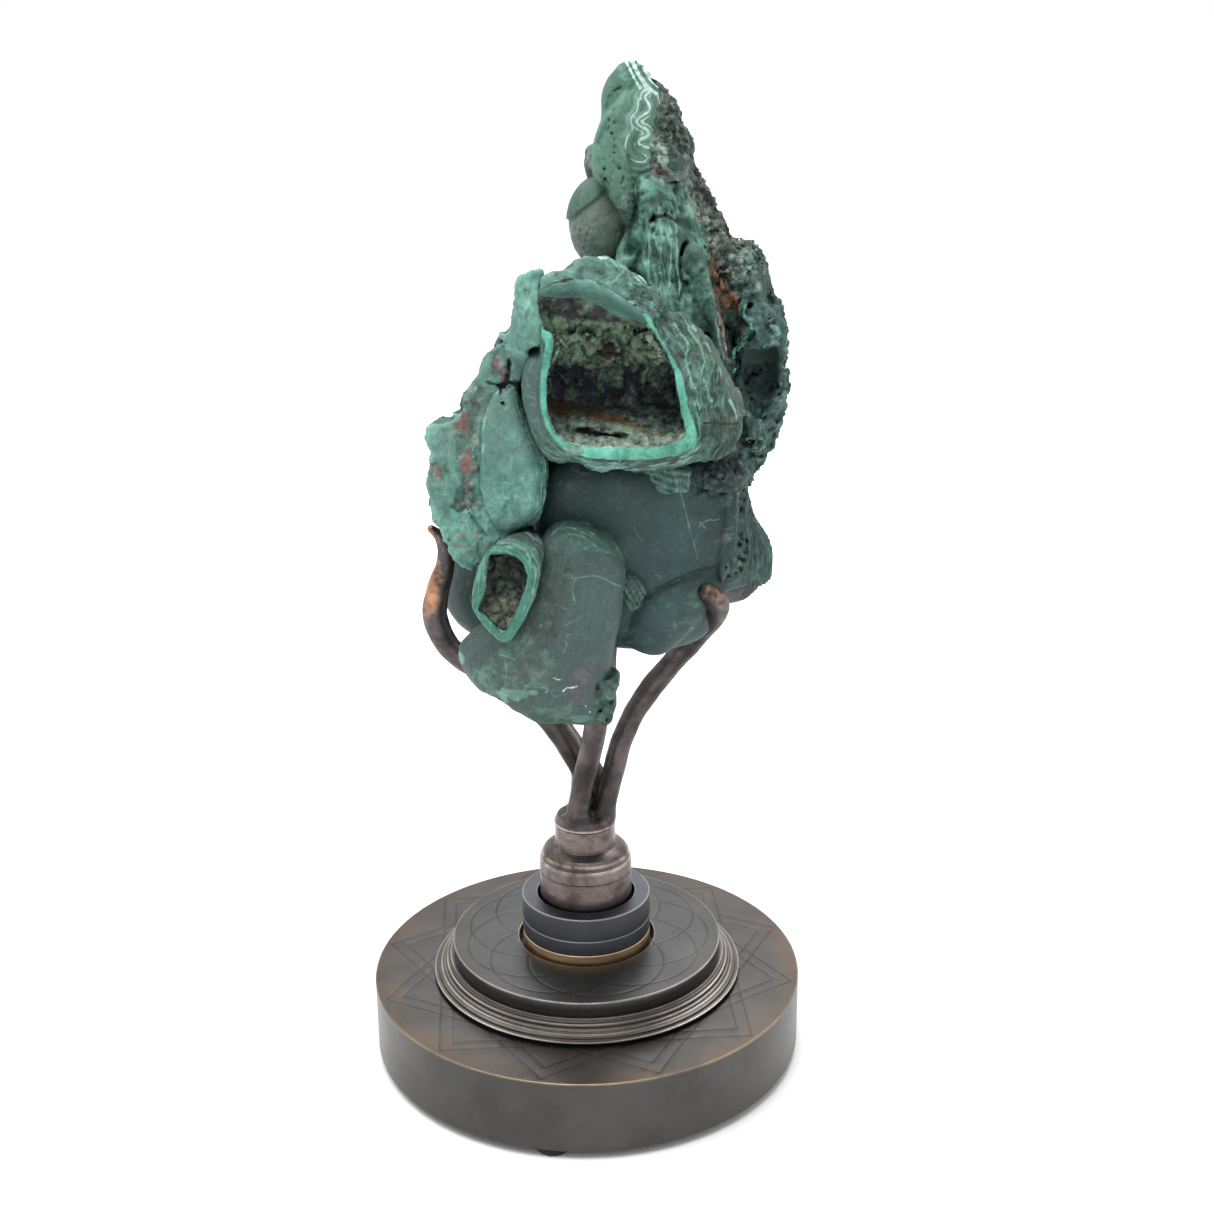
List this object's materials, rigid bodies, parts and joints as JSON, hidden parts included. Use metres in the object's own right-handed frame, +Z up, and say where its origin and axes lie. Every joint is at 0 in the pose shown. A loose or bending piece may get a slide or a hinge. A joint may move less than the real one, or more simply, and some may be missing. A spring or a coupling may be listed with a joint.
{
  "type": "malachite specimen on stand",
  "caption": "Natural malachite geode cluster held by bent bronze rods on a turned round metal stand.",
  "frame": {"origin": "on the surface that the feet stand on, on the axis of the turned stand", "axes": "+Z up along the stand's axis, +Y away from the front, +X to the right seen from the front"},
  "size_m": [0.1524, 0.1524, 0.3402],
  "materials": {
    "malachite": "matt",
    "rod_bronze": "satin",
    "dark_ring": "satin",
    "brass_ring": "satin",
    "dark_bronze": "satin",
    "foot_rubber": "matt"
  },
  "bodies": {
    "root": {"malachite": "malachite", "prong_front": "rod_bronze", "prong_right": "rod_bronze", "prong_left": "rod_bronze", "prong_back": "rod_bronze", "ferrule": "rod_bronze", "upper_ring": "dark_ring", "lower_ring": "dark_ring", "brass_collar": "brass_ring", "rosette_disc": "dark_bronze", "stepped_plate": "dark_bronze", "base_disc": "dark_bronze", "foot_1": "foot_rubber", "foot_2": "foot_rubber", "foot_3": "foot_rubber", "foot_4": "foot_rubber"}
  },
  "joints": []
}
